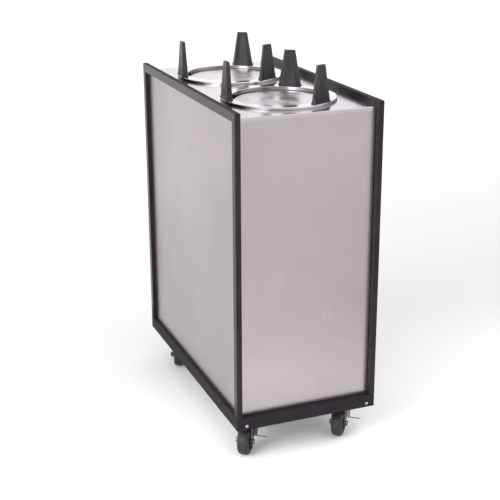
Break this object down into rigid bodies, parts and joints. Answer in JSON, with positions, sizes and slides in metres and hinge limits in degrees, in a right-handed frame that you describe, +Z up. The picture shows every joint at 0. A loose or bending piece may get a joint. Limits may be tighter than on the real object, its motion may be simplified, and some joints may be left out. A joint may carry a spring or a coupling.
{
  "type": "plate dispenser cart",
  "caption": "Tall enclosed stainless plate dispenser cart with black trim, self-leveling sprung plate wells, upright plate guides on the deck and swivel casters with foot brakes.",
  "frame": {"origin": "on the floor under the middle of the cabinet", "axes": "+Z up, +X to the right across the narrow end, +Y from the front end, which has the braked casters, to the rear end"},
  "size_m": [0.41, 0.7876, 1.0546],
  "materials": {
    "black_trim": "gloss black paint",
    "panel_steel": "satin, brushed upright",
    "deck_steel": "satin, brushed lengthways",
    "polished_steel": "spun and polished",
    "inner_steel": "mill",
    "spring_steel": "oiled spring wire",
    "guide_plastic": "moulded, fine texture",
    "caster_steel": "zinc plated, dulled",
    "bolt_steel": "bright zinc",
    "wheel_rubber": "matt, worn tread"
  },
  "bodies": {
    "cabinet": {"corner_post_front_left": "black_trim", "corner_post_front_right": "black_trim", "corner_post_rear_left": "black_trim", "corner_post_rear_right": "black_trim", "top_rail_left": "black_trim", "top_rail_right": "black_trim", "base_rail_front": "black_trim", "base_rail_rear": "black_trim", "base_rail_left": "black_trim", "base_rail_right": "black_trim", "rail_bolt_front_left": "bolt_steel", "rail_bolt_front_right": "bolt_steel", "rail_bolt_rear_left": "bolt_steel", "rail_bolt_rear_right": "bolt_steel", "end_panel_front": "panel_steel", "end_panel_rear": "panel_steel", "side_panel_left": "panel_steel", "side_panel_right": "panel_steel", "top_deck": "deck_steel", "base_pan": "inner_steel", "bezel_ring_front": "polished_steel", "bezel_ring_rear": "polished_steel", "silo_front": "inner_steel", "silo_rear": "inner_steel", "spring_front_1": "spring_steel", "spring_front_2": "spring_steel", "spring_front_3": "spring_steel", "spring_rear_1": "spring_steel", "spring_rear_2": "spring_steel", "spring_rear_3": "spring_steel", "plate_guide_front_1": "guide_plastic", "plate_guide_front_2": "guide_plastic", "plate_guide_front_3": "guide_plastic", "plate_guide_rear_1": "guide_plastic", "plate_guide_rear_2": "guide_plastic", "plate_guide_rear_3": "guide_plastic", "caster_plate_front_left": "caster_steel", "caster_plate_front_right": "caster_steel", "caster_plate_rear_left": "caster_steel", "caster_plate_rear_right": "caster_steel"},
    "carrier_front": {"carrier_disc_front": "polished_steel", "carrier_frame_front": "inner_steel"},
    "carrier_rear": {"carrier_disc_rear": "polished_steel", "carrier_frame_rear": "inner_steel"},
    "swivel_front_left": {"caster_fork_front_left": "caster_steel", "caster_axle_front_left": "bolt_steel"},
    "swivel_front_right": {"caster_fork_front_right": "caster_steel", "caster_axle_front_right": "bolt_steel"},
    "swivel_rear_left": {"caster_fork_rear_left": "caster_steel", "caster_axle_rear_left": "bolt_steel"},
    "swivel_rear_right": {"caster_fork_rear_right": "caster_steel", "caster_axle_rear_right": "bolt_steel"},
    "wheel_front_left": {"caster_wheel_front_left": "wheel_rubber"},
    "wheel_front_right": {"caster_wheel_front_right": "wheel_rubber"},
    "wheel_rear_left": {"caster_wheel_rear_left": "wheel_rubber"},
    "wheel_rear_right": {"caster_wheel_rear_right": "wheel_rubber"},
    "brake_front_left": {"caster_brake_front_left": "caster_steel"},
    "brake_front_right": {"caster_brake_front_right": "caster_steel"}
  },
  "joints": [
    {"name": "carrier_slide_front", "type": "slide", "parent": "cabinet", "child": "carrier_front", "axis": [0, 0, 1], "range_m": [-0.55, 0], "stiffness_N_per_m": 620, "springref_m": 0.06, "deforming": ["spring_front_1", "spring_front_2", "spring_front_3"]},
    {"name": "carrier_slide_rear", "type": "slide", "parent": "cabinet", "child": "carrier_rear", "axis": [0, 0, 1], "range_m": [-0.55, 0], "stiffness_N_per_m": 620, "springref_m": 0.06, "deforming": ["spring_rear_1", "spring_rear_2", "spring_rear_3"]},
    {"name": "swivel_turn_front_left", "type": "hinge", "parent": "cabinet", "child": "swivel_front_left", "pos_m": [-0.142, -0.31, 0.09], "axis": [0, 0, 1], "continuous": true},
    {"name": "swivel_turn_front_right", "type": "hinge", "parent": "cabinet", "child": "swivel_front_right", "pos_m": [0.142, -0.31, 0.09], "axis": [0, 0, 1], "continuous": true},
    {"name": "swivel_turn_rear_left", "type": "hinge", "parent": "cabinet", "child": "swivel_rear_left", "pos_m": [-0.142, 0.31, 0.09], "axis": [0, 0, 1], "continuous": true},
    {"name": "swivel_turn_rear_right", "type": "hinge", "parent": "cabinet", "child": "swivel_rear_right", "pos_m": [0.142, 0.31, 0.09], "axis": [0, 0, 1], "continuous": true},
    {"name": "wheel_spin_front_left", "type": "hinge", "parent": "swivel_front_left", "child": "wheel_front_left", "pos_m": [-0.16047, -0.33364, 0.038], "axis": [0.788, -0.6157, 0], "continuous": true},
    {"name": "wheel_spin_front_right", "type": "hinge", "parent": "swivel_front_right", "child": "wheel_front_right", "pos_m": [0.12353, -0.33364, 0.038], "axis": [0.788, -0.6157, 0], "continuous": true},
    {"name": "wheel_spin_rear_left", "type": "hinge", "parent": "swivel_rear_left", "child": "wheel_rear_left", "pos_m": [-0.15077, 0.28131, 0.038], "axis": [0.9563, -0.2924, 0], "continuous": true},
    {"name": "wheel_spin_rear_right", "type": "hinge", "parent": "swivel_rear_right", "child": "wheel_rear_right", "pos_m": [0.13323, 0.28131, 0.038], "axis": [0.9563, -0.2924, 0], "continuous": true},
    {"name": "brake_press_front_left", "type": "hinge", "parent": "swivel_front_left", "child": "brake_front_left", "pos_m": [-0.14147, -0.30933, 0.07477], "axis": [0.788, -0.6157, 0], "range_deg": [0, 28]},
    {"name": "brake_press_front_right", "type": "hinge", "parent": "swivel_front_right", "child": "brake_front_right", "pos_m": [0.14253, -0.30933, 0.07477], "axis": [0.788, -0.6157, 0], "range_deg": [0, 28]}
  ]
}
